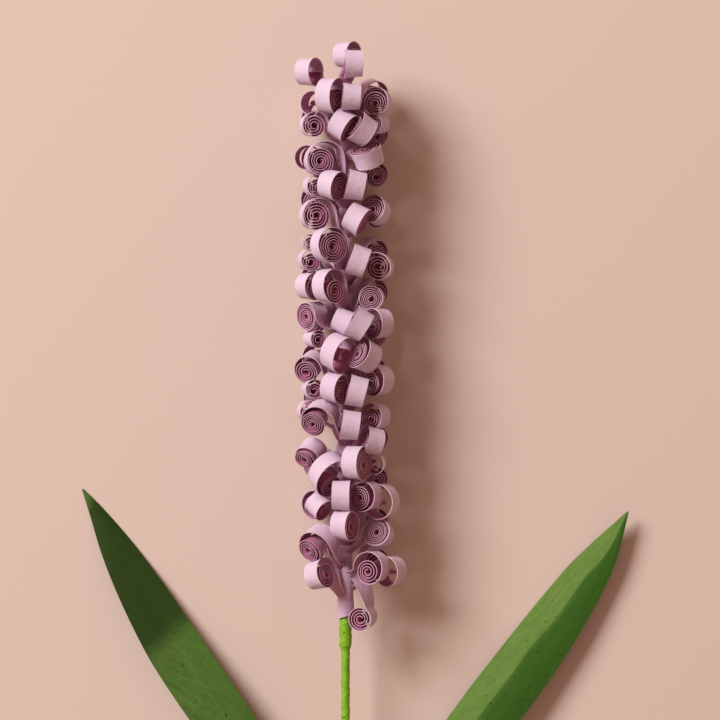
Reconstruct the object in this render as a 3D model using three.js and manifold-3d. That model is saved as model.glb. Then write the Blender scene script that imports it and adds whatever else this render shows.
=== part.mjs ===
// A paper flower lying on a table: fringed mauve strips, rolled into scrolls and wound on a taped wire stem,
// with two long folded leaves. Millimetres, +Z up, the stem along Y with the tip of the head at +Y.
import * as THREE from "three";
import { mergeVertices } from "three/addons/utils/BufferGeometryUtils.js";
import Module from "manifold-3d";

const wasm = await Module();
wasm.setup();

// Stem
const stemLength = 350;
const wireDiameter = 2;
const wireInset = 2;
const tapeThickness = 0.3;
const collarLength = 13;
const collarTaper = 3;
const collarThickness = 1;
const bareWireLength = 4;
const stemSides = 12;
const clearance = 0.3;

// Head, measured from the tip of the head down the stem
const headTop = 9;
const headLength = 197.6;
const bandThickness = 1.1;
const bandSlant = 0.9;
const bandSides = 10;
const topStripLength = 63.5;
const middleStripLength = 66.5;

// Fringes
const fringeWidth = 6.35;
const fringeRootWidth = 2.4;
const rootMargin = 2;
const rootDepthShare = 0.6;
const neckShare = 0.5;
const neckLength = 2.5;
const neckOutShare = 0.3;
const neckUpShare = 0.25;
const neckEntryShare = 0.35;
const coreDropShare = 0.4;
const slideStart = 0.4;
const slideTurns = 0.8;
const paperThickness = 0.4;
const scrollReach = 13;
const scrollFlare = 8;
const scrollCoreShare = 0.72;
const innermostRadius = 0.9;
const frontTurns = 2.4;
const backTurns = 1.6;
const plainNeckSteps = 2;
const bentNeckSteps = 5;
const bentEntryStep = 2;
const firstTurnSteps = 7;
const laterTurnSteps = 5;
const restDepth = 17.6;

// Leaves
const leafThickness = 0.5;
const leafFootWidth = 2.6;
const leafFootLead = 3;
const leafFootTail = 2;
const leafTapeTop = 320;
const leafTapeLength = 26;
const leafTapeThickness = 0.4;

// Colours
const petalColour = 0xddb8c8;
const darkLeafColour = 0x4a6a26;
const lightLeafColour = 0x64842f;
const tapeColour = 0x86c832;
const steelColour = 0x9a9c98;

// Where each piece starts and ends down the stem, and how far it stands off the stem's middle
const wireTop = headTop + wireInset;
const wireEnd = wireTop + stemLength;
const headEnd = headTop + headLength - clearance;
const wireRadius = wireDiameter / 2;
const sleeveRadius = wireRadius + clearance;
const tapeRadius = sleeveRadius + tapeThickness;
const bandRadius = sleeveRadius + bandThickness;
const collarRadius = sleeveRadius + collarThickness;
const leafSeat = tapeRadius + clearance;
const leafReach = Math.hypot(leafSeat + leafThickness, leafFootWidth / 2);
const leafTapeRadius = (leafReach + clearance) / Math.cos(Math.PI / stemSides);

const degrees = Math.PI / 180;
const weldDistance = 1e-4;

// A closed solid from its corner points and the triangles between them.
function solidFrom(points, triangles) {
  const geometry = new THREE.BufferGeometry();
  geometry.setAttribute(
    "position",
    new THREE.Float32BufferAttribute(points.flatMap((p) => [p.x, p.y, p.z]), 3),
  );
  geometry.setIndex(triangles.flat());
  const merged = mergeVertices(geometry, weldDistance);
  const made = new wasm.Manifold(
    new wasm.Mesh({
      numProp: 3,
      vertProperties: merged.attributes.position.array,
      triVerts: new Uint32Array(merged.index.array),
    }),
  );
  return made.volume() > 0 ? made : solidFrom(points, triangles.map(([a, b, c]) => [a, c, b]));
}

// The same closed solid from the triangles of a plain geometry.
function solidOfGeometry(geometry) {
  const at = geometry.toNonIndexed().getAttribute("position");
  const points = [];
  const triangles = [];
  for (let i = 0; i < at.count; i += 1) {
    points.push(new THREE.Vector3().fromBufferAttribute(at, i));
    if (i % 3 === 2) {
      triangles.push([i - 2, i - 1, i]);
    }
  }
  return solidFrom(points, triangles);
}

// The triangles that skin a row of equal rings of corner points, closed at both ends by a fan.
function skinRings(ringCount, corners) {
  const triangles = [];
  for (let ring = 0; ring + 1 < ringCount; ring += 1) {
    for (let corner = 0; corner < corners; corner += 1) {
      const a = ring * corners + corner;
      const b = ring * corners + ((corner + 1) % corners);
      triangles.push([a, b, b + corners], [a, b + corners, a + corners]);
    }
  }
  const last = (ringCount - 1) * corners;
  for (let corner = 1; corner + 1 < corners; corner += 1) {
    triangles.push([0, corner + 1, corner], [last, last + corner, last + corner + 1]);
  }
  return triangles;
}

// A tube round the stem. Each ring is { down, inner, outer, slant }, and the tube's section closes on itself.
function stemTube(rings, sides) {
  const points = [];
  const outside = rings.map((ring) => ({ ...ring, radius: ring.outer }));
  const inside = rings.map((ring) => ({ ...ring, radius: ring.inner })).reverse();
  const section = [...outside, ...inside];
  for (let side = 0; side < sides; side += 1) {
    const angle = (side / sides) * 2 * Math.PI;
    for (const { down, radius, slant = 0 } of section) {
      const x = radius * Math.sin(angle);
      points.push(new THREE.Vector3(x, -down + (slant * x) / bandRadius, radius * Math.cos(angle)));
    }
  }
  const corners = section.length;
  const triangles = [];
  for (let side = 0; side < sides; side += 1) {
    for (let corner = 0; corner < corners; corner += 1) {
      const next = (corner + 1) % corners;
      const beside = ((side + 1) % sides) * corners;
      const here = side * corners;
      triangles.push([here + corner, here + next, beside + next]);
      triangles.push([here + corner, beside + next, beside + corner]);
    }
  }
  return solidFrom(points, triangles);
}

// One fringe of the strip: its middle line runs from its root on the band up the stem, over the top of the
// scroll and down its outside, then winds inwards. faces turns the scroll round the stem; lean tips its axis
// clockwise as seen from outside.
function fringePath(fringe, turns, band) {
  const { down, side = 0, faces, lean = 0, size, out = scrollReach } = fringe;
  const around = fringe.around ?? Math.asin(THREE.MathUtils.clamp(side / out, -1, 1)) / degrees;
  const core = fringe.core ?? size * scrollCoreShare;
  const [shiftOut, shiftUp] = fringe.shift ?? [0, (core - size) * coreDropShare];
  const turned = new THREE.Euler(0, faces * degrees, -lean * degrees, "YXZ");
  const outwards = new THREE.Vector3(0, 0, 1).applyEuler(turned);
  const upwards = new THREE.Vector3(0, 1, 0).applyEuler(turned);
  const across = new THREE.Vector3(1, 0, 0).applyEuler(turned);
  const radial = new THREE.Vector3(Math.sin(around * degrees), 0, Math.cos(around * degrees));
  const centre = radial.clone().multiplyScalar(out).setY(-down);

  const rise = fringe.rise ?? size * neckShare + neckLength;
  const rootDown = THREE.MathUtils.clamp(down + rise, band.from + rootMargin, band.to - rootMargin);
  const rootAround = (fringe.rootAround ?? around) * degrees;
  const rootRadial = new THREE.Vector3(Math.sin(rootAround), 0, Math.cos(rootAround));
  const root = rootRadial.clone().multiplyScalar(sleeveRadius + bandThickness * rootDepthShare).setY(-rootDown);
  const rootAcross = new THREE.Vector3(Math.cos(rootAround), 0, -Math.sin(rootAround));

  const outerRadius = (size - paperThickness) / 2;
  const coreRadius = (core - paperThickness) / 2;
  const roll = (turn) => {
    const eased = THREE.MathUtils.smoothstep(Math.min(turn, 1), 0, 1);
    const wound = turn < 1 ? 0 : (turn - 1) / Math.max(turns - 1, 0.01);
    const radius =
      turn < 1
        ? THREE.MathUtils.lerp(outerRadius, coreRadius, eased)
        : THREE.MathUtils.lerp(coreRadius, innermostRadius, wound);
    const angle = Math.PI - turn * 2 * Math.PI;
    const slide = (fringe.slide ?? 0) * THREE.MathUtils.clamp((turn - slideStart) / slideTurns, 0, 1);
    return centre
      .clone()
      .addScaledVector(outwards, shiftOut * eased + radius * Math.cos(angle))
      .addScaledVector(upwards, shiftUp * eased + radius * Math.sin(angle))
      .addScaledVector(across, slide);
  };

  // The scroll winds into a shallow cone that opens upwards, so wide leans off its axis as it winds
  const opening = Math.tan(scrollFlare * degrees) * (across.z < 0 ? -1 : 1);
  const wide = (turn) => {
    const angle = Math.PI - turn * 2 * Math.PI;
    const tipped = opening * THREE.MathUtils.smoothstep(turn, 0, 1);
    return across
      .clone()
      .addScaledVector(outwards, tipped * Math.cos(angle))
      .addScaledVector(upwards, tipped * Math.sin(angle))
      .normalize();
  };

  // A fringe that bends over joins its scroll past the top of it, where it already heads down
  const entryStep = fringe.over ? bentEntryStep : 0;
  const entryAngle = Math.PI - (entryStep / firstTurnSteps) * 2 * Math.PI;
  const heading = outwards
    .clone()
    .multiplyScalar(Math.sin(entryAngle))
    .addScaledVector(upwards, -Math.cos(entryAngle));
  const entry = roll(entryStep / firstTurnSteps);
  const reach = root.distanceTo(entry);
  const leaving = root.clone().addScaledVector(rootRadial, reach * neckOutShare);
  leaving.y += reach * neckUpShare;
  if (fringe.over) {
    const [overSide, overDown, overHeight] = fringe.over;
    leaving.set(overSide, -overDown, overHeight);
  }
  const arriving = entry.clone().addScaledVector(heading, -reach * neckEntryShare);
  const neck = new THREE.CubicBezierCurve3(root, leaving, arriving, entry);
  return { neck, roll, rootAcross, wide, entryStep };
}

// The fringe as a solid ribbon, a loft of narrow rectangles along its middle line.
function fringeSolid(fringe, turns, band) {
  const { neck, roll, rootAcross, wide, entryStep } = fringePath(fringe, turns, band);
  const stations = [];
  const neckSteps = fringe.over ? bentNeckSteps : plainNeckSteps;
  for (let step = 0; step < neckSteps; step += 1) {
    const t = step / neckSteps;
    const twisted = rootAcross.clone().lerp(wide(entryStep / firstTurnSteps), t * t).normalize();
    stations.push({ point: neck.getPoint(t), wide: twisted, width: t > 0 ? fringeWidth : fringeRootWidth });
  }
  const steps = Math.min(turns, 1) * firstTurnSteps + Math.max(turns - 1, 0) * laterTurnSteps;
  for (let step = entryStep; step <= Math.round(steps); step += 1) {
    const turn = step <= firstTurnSteps ? step / firstTurnSteps : 1 + (step - firstTurnSteps) / laterTurnSteps;
    stations.push({ point: roll(turn), wide: wide(turn), width: fringeWidth });
  }
  const points = [];
  stations.forEach((station, index) => {
    const { point, width } = station;
    const before = stations[Math.max(index - 1, 0)].point;
    const after = stations[Math.min(index + 1, stations.length - 1)].point;
    const along = after.clone().sub(before).normalize();
    const thick = station.wide.clone().cross(along).normalize();
    const flat = along.clone().cross(thick).normalize();
    for (const [w, t] of [[-1, -1], [1, -1], [1, 1], [-1, 1]]) {
      points.push(
        point
          .clone()
          .addScaledVector(flat, (w * width) / 2)
          .addScaledVector(thick, (t * paperThickness) / 2),
      );
    }
  });
  return solidFrom(points, skinRings(stations.length, 4));
}

// Fringes of the side that faces up, in order down the stem. down and side place the scroll's centre, side
// being how far it lies to the right of the stem, and size is the outside diameter of its widest turn. over
// is a point the fringe bends over on its way to the scroll, by side, down and height.
const topFringes = [
  { down: 10.8, side: -13.2, faces: -41, size: 10.2, core: 9, turns: 1.3, out: 14 },
  { down: 8.6, side: 2.9, faces: 4, size: 10.4, out: 14, rise: 6 },
  { down: 4.9, side: 0.5, faces: -37, size: 9.6, core: 7.8, turns: 1.5, out: 7.6, rise: 9 },
  { down: 19.8, side: -5.4, faces: -30, size: 13.7, core: 8.5, lean: 3 },
  { down: 20.5, side: 2, faces: 5, size: 10, lean: 4, out: 15 },
  { down: 21.2, side: 11.6, faces: 75, size: 10.2, core: 7.5 },
  { down: 29.4, side: 11.6, faces: 58, size: 7.6, out: 12.8 },
  { down: 22, side: -11.2, faces: -112, size: 9, turns: 1.3, out: 12.4 },
  { down: 30.2, side: -11.4, faces: -75, size: 10.2, core: 6.8, shift: [0.6, -0.3] },
  { down: 30.2, side: -1, faces: -21, lean: 30, size: 11, out: 12.8 },
  { down: 31.9, side: 6, faces: 6, lean: 32, size: 11.6, out: 14.2 },
  { down: 42.5, side: -7.7, faces: -75, size: 14, core: 8.8, shift: [2, -0.8], out: 12 },
  { down: 41.4, side: -13.6, faces: -100, size: 9.2, turns: 1.3, out: 14.2 },
  { down: 41.4, side: 8, faces: 22, lean: 74, size: 12, core: 9.6, out: 13.4, rise: 3, rootAround: 4 },
  { down: 51.5, side: -11.2, faces: -50, size: 8, out: 12 },
  { down: 51.5, side: -4.8, faces: -34, lean: 12, size: 11, out: 12.4 },
  { down: 51.8, side: 3.6, faces: 5, lean: 12, size: 11, out: 13.4 },
  { down: 60.4, side: 11, faces: 65, lean: 15, size: 10.4, core: 8 },
  { down: 62.4, side: -10, faces: -72, size: 12.8, core: 9.2, shift: [1.4, -0.2], out: 11.9 },
  { down: 63.8, side: 3.8, faces: -15, lean: 28, size: 10.6, core: 9.4 },
];

const middleFringes = [
  { down: 71.8, side: -13.2, faces: -80, size: 5.8, turns: 1.8, out: 13.9 },
  { down: 73, side: -6, faces: -57, size: 13, core: 10.6, out: 13.6 },
  { down: 78.8, side: 4.6, faces: 2, lean: 20, size: 11.6 },
  { down: 81.6, side: 11.5, faces: 76, size: 12.6, core: 7.4, shift: [0.9, 0.6], out: 12.8 },
  { down: 78.2, side: -13.2, faces: -95, size: 8, turns: 1.3, out: 14.2 },
  { down: 87.6, side: -12.9, faces: -50, size: 10.2, out: 14.2 },
  { down: 87.6, side: -6.3, faces: -45, size: 13.4, core: 7.4, shift: [0, -2.1], slide: 0.6 },
  { down: 91.8, side: 9.6, faces: 80, size: 8.8, core: 7.4, out: 10.4 },
  { down: 98, side: -12, faces: -135, lean: 5, size: 9.8, core: 8.4, out: 12.6 },
  { down: 100.2, side: -0.8, faces: -12, lean: 22, size: 9, out: 10.8 },
  { down: 101.2, side: 4.8, faces: 8, lean: 32, size: 12, out: 14.2 },
  { down: 100.8, side: 12, faces: 45, size: 11.6, core: 7, out: 13.8 },
  { down: 106.4, side: -11.4, faces: -60, size: 6.4, turns: 1.6, out: 12 },
  { down: 111.4, side: -2.9, faces: -35, lean: 18, size: 14, core: 9.5, turns: 1.8 },
  { down: 112.6, side: 7.2, faces: 40, lean: 25, size: 12.2, core: 9.2, slide: -0.8 },
  { down: 116.6, side: -12.4, faces: -112, lean: 20, size: 11.6, core: 8.8, shift: [0.8, -1.2] },
  { down: 124.4, side: -12, faces: -95, size: 7.2, turns: 1.3, out: 13 },
  { down: 124, side: -4, faces: -31, lean: 8, size: 11 },
  { down: 125.2, side: 4, faces: 3, lean: 15, size: 11.5 },
  { down: 122.2, side: 12, faces: 50, size: 13.6, core: 7.4, shift: [-1, -0.4], out: 13.6 },
];

const bottomFringes = [
  { down: 132.4, side: -13.6, faces: -95, size: 8, turns: 1.3, out: 14.2 },
  { down: 134.2, side: 11, faces: 55, size: 10, out: 12 },
  { down: 135, side: -9, faces: -110, lean: 25, size: 13, core: 8.2, shift: [1.4, 0], slide: 1.6 },
  { down: 137.3, side: 1.8, faces: 3, lean: 8, size: 11 },
  { down: 143, side: 9.5, faces: 22, lean: 14, size: 10.5, out: 13.6 },
  { down: 147.4, side: -12.2, faces: -120, lean: 40, size: 8.6, core: 7.2 },
  { down: 150.6, side: 3.8, faces: -28, lean: 2, size: 12.2, core: 10.4 },
  { down: 151.2, side: 11, faces: 80, size: 7.4, turns: 1.8, out: 12.4 },
  { down: 154.6, side: -6.4, faces: -50, lean: 32, size: 17, core: 7.6, shift: [-0.6, -3.6], out: 11 },
  { down: 162.2, side: -1.4, faces: -5, size: 11, out: 13.8 },
  { down: 163.4, side: 8.4, faces: 58, size: 12.4, core: 9.4, shift: [-1, 0], slide: -0.8 },
  { down: 164.6, side: 13, faces: 62, size: 13.2, turns: 1.3, out: 14.4 },
  { down: 166.2, side: -9.6, faces: -40, lean: 30, size: 8.2, turns: 1.6 },
  { down: 173, side: -0.4, faces: -28, lean: 2, size: 10.6, core: 9.6 },
  { down: 176.2, side: 12, faces: 70, lean: 16, size: 10.2, core: 9.2 },
  { down: 180, side: -9, faces: -128, lean: 28, size: 14.6, core: 8.2, shift: [1.8, 0], slide: 1.8 },
  { down: 188.8, side: 10.2, faces: 60, size: 13.8, core: 8.4, shift: [-0.6, -0.8], out: 13.8, rise: 9.6 },
  { down: 189.6, side: 16.4, faces: 55, size: 11.2, turns: 1.3, out: 17.2 },
  { down: 191.2, side: -8.8, faces: -38, lean: -15, size: 13, core: 7.6, shift: [0.6, -0.4] },
  { down: 206.4, side: 6.3, faces: 82, size: 8.8, out: 8, rise: -2, rootAround: -4, over: [0, 168, 13] },
];

// Fringes of the side that faces down: a row every few millimetres, three across, spread a little unevenly.
// Those straight below the stem are pressed level, so that the head lies on a flat of their outsides.
function lowerFringes(from, to) {
  const rowPitch = 14.6;
  const placePitch = 4.6;
  const spread = [-47, 0, 47];
  const meanSize = 10.6;
  const rowPhase = 12.9;
  const placePhase = 7.7;
  const aroundPlay = 5;
  const facesPlay = 14;
  const leanPlay = 16;
  const made = [];
  for (let row = 0; from + row * rowPitch < to; row += 1) {
    spread.forEach((offset, place) => {
      const uneven = Math.sin(row * rowPhase + place * placePhase + from);
      const down = from + row * rowPitch + place * placePitch;
      if (down > to) {
        return;
      }
      const size = meanSize + uneven;
      const around = 180 + offset + uneven * aroundPlay;
      const level = (restDepth - size / 2) / Math.abs(Math.cos(around * degrees));
      made.push({
        down,
        around,
        faces: around + uneven * facesPlay,
        lean: uneven * leanPlay,
        size,
        turns: backTurns,
        out: Math.min(level, scrollReach),
      });
    });
  }
  return made;
}

// A named mesh with a plain material of its own.
function meshOf(name, solid, colour, roughness, metalness = 0) {
  const { numProp, vertProperties, triVerts } = solid.getMesh();
  const position = [];
  for (let at = 0; at < vertProperties.length; at += numProp) {
    position.push(vertProperties[at], vertProperties[at + 1], vertProperties[at + 2]);
  }
  const geometry = new THREE.BufferGeometry();
  geometry.setAttribute("position", new THREE.Float32BufferAttribute(position, 3));
  geometry.setIndex(Array.from(triVerts));
  geometry.computeVertexNormals();
  const material = new THREE.MeshStandardMaterial({ color: colour, roughness, metalness, flatShading: true });
  const mesh = new THREE.Mesh(geometry, material);
  mesh.name = name;
  return mesh;
}

// One paper strip: its uncut edge is the band wound round the wire, and its fringes stand on it.
function petalStrip(name, from, to, fringes, slant = 0) {
  const inner = sleeveRadius;
  const outer = bandRadius;
  let strip = stemTube([{ down: from, inner, outer }, { down: to, inner, outer, slant }], bandSides);
  for (const fringe of fringes) {
    strip = strip.add(fringeSolid(fringe, fringe.turns ?? frontTurns, { from, to }));
  }
  // Where scrolls touch they can seal a small space between them, which is filled.
  const shells = strip.decompose().filter((shell) => shell.volume() > 0);
  return meshOf(name, shells.reduce((a, b) => a.add(b)), petalColour, 0.75);
}

// A long leaf folded along its middle. The middle line, the widths and the slopes of the two halves are given
// at the stations of its length, and the leaf's foot lies along the stem under the binding.
function leaf(name, colour, stations) {
  const points = [];
  const middle = new THREE.CatmullRomCurve3(
    stations.map(({ side, down, height }) => new THREE.Vector3(side, -down, height)),
  );
  stations.forEach(({ left, right, leftSlope, rightSlope }, index) => {
    const t = index / (stations.length - 1);
    const point = middle.getPoint(t);
    const along = middle.getTangent(t);
    const level = new THREE.Vector3(0, 0, 1).cross(along).normalize();
    const upright = along.clone().cross(level).normalize();
    const edge = (reach, slope) =>
      point
        .clone()
        .addScaledVector(level, reach)
        .addScaledVector(upright, -Math.abs(reach) * Math.tan(slope * degrees));
    const drop = upright.clone().multiplyScalar(-leafThickness);
    const leftEdge = edge(-left, leftSlope);
    const rightEdge = edge(right, rightSlope);
    points.push(leftEdge, point, rightEdge);
    points.push(rightEdge.clone().add(drop), point.clone().add(drop), leftEdge.clone().add(drop));
  });
  return meshOf(name, solidFrom(points, skinRings(stations.length, 6)), colour, 0.6);
}

// Left leaf: lies nearly open on the table, its right edge down, and rises to the stem at its foot.
const leftLeaf = [
  { side: -96.1, down: 161.3, height: -17.1, left: 0.3, right: 0.3, leftSlope: 24, rightSlope: 20 },
  { side: -91.3, down: 168.9, height: -16.2, left: 2.6, right: 2.4, leftSlope: 8, rightSlope: 22 },
  { side: -83.2, down: 181.6, height: -15, left: 6.5, right: 4.8, leftSlope: -14, rightSlope: 25 },
  { side: -73.1, down: 197.9, height: -13.4, left: 9.4, right: 6.8, leftSlope: -18, rightSlope: 26 },
  { side: -62.3, down: 216, height: -11.8, left: 10.9, right: 8.5, leftSlope: -14, rightSlope: 24 },
  { side: -52.2, down: 231.2, height: -10.2, left: 11.2, right: 9.1, leftSlope: -7, rightSlope: 19 },
  { side: -42.3, down: 245.5, height: -8.6, left: 11, right: 9.2, leftSlope: -2, rightSlope: 15 },
  { side: -31, down: 262.5, height: -7, left: 10, right: 8.6, leftSlope: 3, rightSlope: 14 },
  { side: -18.4, down: 285, height: -5, left: 7.2, right: 6.6, leftSlope: 8, rightSlope: 14 },
  { side: -7.6, down: 305.5, height: -3.3, left: 3.8, right: 3.8, leftSlope: 6, rightSlope: 8 },
];

// Right leaf: its fold stands up as a ridge, and it slopes down a little towards its tip.
const rightLeaf = [
  { side: 102.6, down: 169.2, height: -12.4, left: 0.3, right: 0.3, leftSlope: 36, rightSlope: 12 },
  { side: 97.3, down: 179.5, height: -11, left: 4.4, right: 3.2, leftSlope: 42, rightSlope: 12 },
  { side: 92.6, down: 186.4, height: -10.1, left: 6, right: 5.9, leftSlope: 45, rightSlope: 12 },
  { side: 86.8, down: 193.4, height: -9.5, left: 6.9, right: 8.3, leftSlope: 47, rightSlope: 12 },
  { side: 78.4, down: 204.2, height: -8.7, left: 7.5, right: 10.5, leftSlope: 48, rightSlope: 12 },
  { side: 70, down: 214.6, height: -8, left: 7.6, right: 12.3, leftSlope: 48, rightSlope: 12 },
  { side: 59.7, down: 227.4, height: -6.8, left: 7.6, right: 13.4, leftSlope: 47, rightSlope: 12 },
  { side: 48.8, down: 241.6, height: -5.3, left: 7.8, right: 13.4, leftSlope: 45, rightSlope: 13 },
  { side: 34, down: 262, height: -2.6, left: 7.6, right: 12, leftSlope: 38, rightSlope: 14 },
  { side: 19, down: 284, height: 0.4, left: 6, right: 8.6, leftSlope: 28, rightSlope: 12 },
  { side: 8, down: 301.5, height: 2.1, left: 3.8, right: 4.4, leftSlope: 14, rightSlope: 8 },
];

// The foot of a leaf, level along the stem: below it where under is true, and on top of it otherwise.
function leafFoot(under) {
  const lift = leafSeat + (under ? 0 : leafThickness);
  const height = under ? -lift : lift;
  const half = leafFootWidth / 2;
  const flat = { side: 0, height, left: half, right: half, leftSlope: 0, rightSlope: 0 };
  return [
    { ...flat, down: leafTapeTop - leafFootLead },
    { ...flat, down: leafTapeTop + leafTapeLength / 2 },
    { ...flat, down: leafTapeTop + leafTapeLength + leafFootTail },
  ];
}

const flower = new THREE.Group();

const wireGeometry = new THREE.CylinderGeometry(wireRadius, wireRadius, stemLength, stemSides);
const wire = meshOf("stem_wire", solidOfGeometry(wireGeometry), steelColour, 0.4, 1);
wire.position.y = -(wireTop + wireEnd) / 2;

const collarEnd = headEnd + clearance + collarLength;
const tape = stemTube(
  [
    { down: headEnd + clearance, inner: sleeveRadius, outer: collarRadius, slant: bandSlant },
    { down: collarEnd - collarTaper, inner: sleeveRadius, outer: collarRadius },
    { down: collarEnd, inner: sleeveRadius, outer: tapeRadius },
    { down: wireEnd - bareWireLength, inner: sleeveRadius, outer: tapeRadius },
  ],
  stemSides,
);

const bindingEnd = leafTapeTop + leafTapeLength;
const binding = stemTube(
  [
    { down: leafTapeTop, inner: leafTapeRadius, outer: leafTapeRadius + leafTapeThickness },
    { down: bindingEnd, inner: leafTapeRadius, outer: leafTapeRadius + leafTapeThickness },
  ],
  stemSides,
);

const topStripEnd = headTop + topStripLength;
const middleStripEnd = topStripEnd + middleStripLength;
flower.add(
  wire,
  meshOf("stem_tape", tape, tapeColour, 0.55),
  meshOf("leaf_binding_tape", binding, tapeColour, 0.55),
  petalStrip("petal_strip_top", headTop, topStripEnd - clearance, [
    ...topFringes,
    ...lowerFringes(headTop + 8, topStripEnd - 6),
  ]),
  petalStrip("petal_strip_middle", topStripEnd, middleStripEnd - clearance, [
    ...middleFringes,
    ...lowerFringes(topStripEnd + 2, middleStripEnd - 7),
  ]),
  petalStrip("petal_strip_bottom", middleStripEnd, headEnd, [
    ...bottomFringes,
    ...lowerFringes(middleStripEnd + 3, headEnd - 16),
  ], bandSlant),
  leaf("leaf_left", darkLeafColour, [...leftLeaf, ...leafFoot(true)]),
  leaf("leaf_right", lightLeafColour, [...rightLeaf, ...leafFoot(false)]),
);

// The origin is the middle of the underside of everything.
const box = new THREE.Box3().setFromObject(flower);
const middle = box.getCenter(new THREE.Vector3());
flower.position.set(-middle.x, -middle.y, -box.min.z);

export default flower;
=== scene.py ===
import math

import bmesh
import bpy
from mathutils import Matrix, Vector, noise


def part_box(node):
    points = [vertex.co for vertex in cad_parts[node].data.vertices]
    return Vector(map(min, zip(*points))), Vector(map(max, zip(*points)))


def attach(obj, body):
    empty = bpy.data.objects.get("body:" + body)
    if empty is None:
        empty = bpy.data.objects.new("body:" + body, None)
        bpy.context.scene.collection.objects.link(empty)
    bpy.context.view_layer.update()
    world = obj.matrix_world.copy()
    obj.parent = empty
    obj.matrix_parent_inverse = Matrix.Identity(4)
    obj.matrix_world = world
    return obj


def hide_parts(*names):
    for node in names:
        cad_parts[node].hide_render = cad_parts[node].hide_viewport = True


mm = 0.001

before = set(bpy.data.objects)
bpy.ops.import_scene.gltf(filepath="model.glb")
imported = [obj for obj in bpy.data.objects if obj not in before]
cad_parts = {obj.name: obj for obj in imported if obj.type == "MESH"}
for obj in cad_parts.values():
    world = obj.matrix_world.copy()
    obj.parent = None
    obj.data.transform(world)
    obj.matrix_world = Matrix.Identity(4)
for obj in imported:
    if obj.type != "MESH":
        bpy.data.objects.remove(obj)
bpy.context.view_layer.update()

# the stem's middle line and the tip of the head, found from the wire
tipOverWire = 11 * mm  # the topmost curls reach this far past the wire's end
wireLow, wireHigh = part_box("stem_wire")
stemX = (wireLow.x + wireHigh.x) / 2
stemZ = (wireLow.z + wireHigh.z) / 2
tipY = wireHigh.y + tipOverWire

# where the strips start and end, in mm down from the head's tip, and their edge wound on the wire
head = {
    "top": 9,
    "topEnd": 72.5,
    "middleEnd": 139,
    "bottom": 206.3,
    "gap": 0.3,
    "bandRadius": 2.4,
    "cuffRadius": 3.1,
    "cuffTop": 188,
    "slant": 0.9,
    "slantLength": 8,
    "bandSides": 28,
    "bandRowPitch": 1.2,
    "bandUneven": 0.12,
}


# a point given in mm beside the stem, up from the head's tip and over the stem's middle
def toWorld(point):
    return Vector((stemX + point.x * mm, tipY + point.y * mm, stemZ + point.z * mm))


def clamp(value, low, high):
    return max(low, min(high, value))


def lerp(a, b, t):
    return a + (b - a) * t


def smooth(value):
    value = clamp(value, 0, 1)
    return value * value * (3 - 2 * value)


# Shader building

def plug(tree, socket, value):
    if isinstance(value, bpy.types.NodeSocket):
        tree.links.new(value, socket)
    elif socket.type == "RGBA" and len(value) == 3:
        socket.default_value = (*value, 1.0)
    else:
        socket.default_value = value


def addNode(tree, kind, sockets=None, **settings):
    node = tree.nodes.new(kind)
    for key, value in settings.items():
        setattr(node, key, value)
    for key, value in (sockets or {}).items():
        plug(tree, node.inputs[key], value)
    return node


def mathOf(tree, operation, first, second=0.0):
    return addNode(tree, "ShaderNodeMath", {0: first, 1: second}, operation=operation).outputs[0]


def noiseOf(tree, place, scale, detail, distortion=0.0):
    settings = {"Vector": place, "Scale": scale, "Detail": detail, "Distortion": distortion}
    return addNode(tree, "ShaderNodeTexNoise", settings).outputs["Fac"]


# stretches the part of a value between low and high to toLow and toHigh
def rangeOf(tree, value, low, high, toLow=0.0, toHigh=1.0):
    settings = {"Value": value, "From Min": low, "From Max": high, "To Min": toLow, "To Max": toHigh}
    return addNode(tree, "ShaderNodeMapRange", settings).outputs[0]


def mixColour(tree, factor, first, second):
    settings = {"Factor": factor, 6: first, 7: second}
    return addNode(tree, "ShaderNodeMix", settings, data_type="RGBA").outputs[2]


def newGroup(name, inputs, outputs):
    group = bpy.data.node_groups.new(name, "ShaderNodeTree")
    for label, value in inputs.items():
        kind = "NodeSocketColor" if isinstance(value, tuple) else "NodeSocketFloat"
        group.interface.new_socket(label, in_out="INPUT", socket_type=kind).default_value = value
    for label, kind in outputs.items():
        group.interface.new_socket(label, in_out="OUTPUT", socket_type=kind)
    return group, group.nodes.new("NodeGroupInput"), group.nodes.new("NodeGroupOutput")


def useGroup(tree, group, **sockets):
    node = tree.nodes.new("ShaderNodeGroup")
    node.node_tree = group
    for key, value in sockets.items():
        plug(tree, node.inputs[key], value)
    return node


toothHeight = 0.12 * mm


# uncoated paper: a soft cloudiness and a fine tooth
def paperFibreGroup():
    group, given, result = newGroup(
        "paper fibre",
        {"Cloud": 900.0, "Tooth": 5200.0, "Relief": 0.3},
        {"Mask": "NodeSocketFloat", "Normal": "NodeSocketVector"},
    )
    place = addNode(group, "ShaderNodeTexCoord").outputs["Object"]
    cloud = noiseOf(group, place, given.outputs["Cloud"], 3.0)
    tooth = noiseOf(group, place, given.outputs["Tooth"], 2.0)
    half = mathOf(group, "MULTIPLY", mathOf(group, "ADD", cloud, tooth), 0.5)
    relief = addNode(
        group,
        "ShaderNodeBump",
        {"Height": tooth, "Strength": given.outputs["Relief"], "Distance": toothHeight},
    )
    plug(group, result.inputs["Mask"], half)
    plug(group, result.inputs["Normal"], relief.outputs["Normal"])
    return group


# the cut edge of a sheet in a colour of its own, on the faces marked as its rim
def cutEdgeGroup():
    group, given, result = newGroup(
        "cut edge",
        {"Sheet": (0.5, 0.5, 0.5, 1.0), "Edge": (0.8, 0.8, 0.8, 1.0)},
        {"Color": "NodeSocketColor"},
    )
    rim = addNode(group, "ShaderNodeAttribute", attribute_name="rim")
    mixed = mixColour(group, rim.outputs["Fac"], given.outputs["Sheet"], given.outputs["Edge"])
    plug(group, result.inputs["Color"], mixed)
    return group


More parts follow.
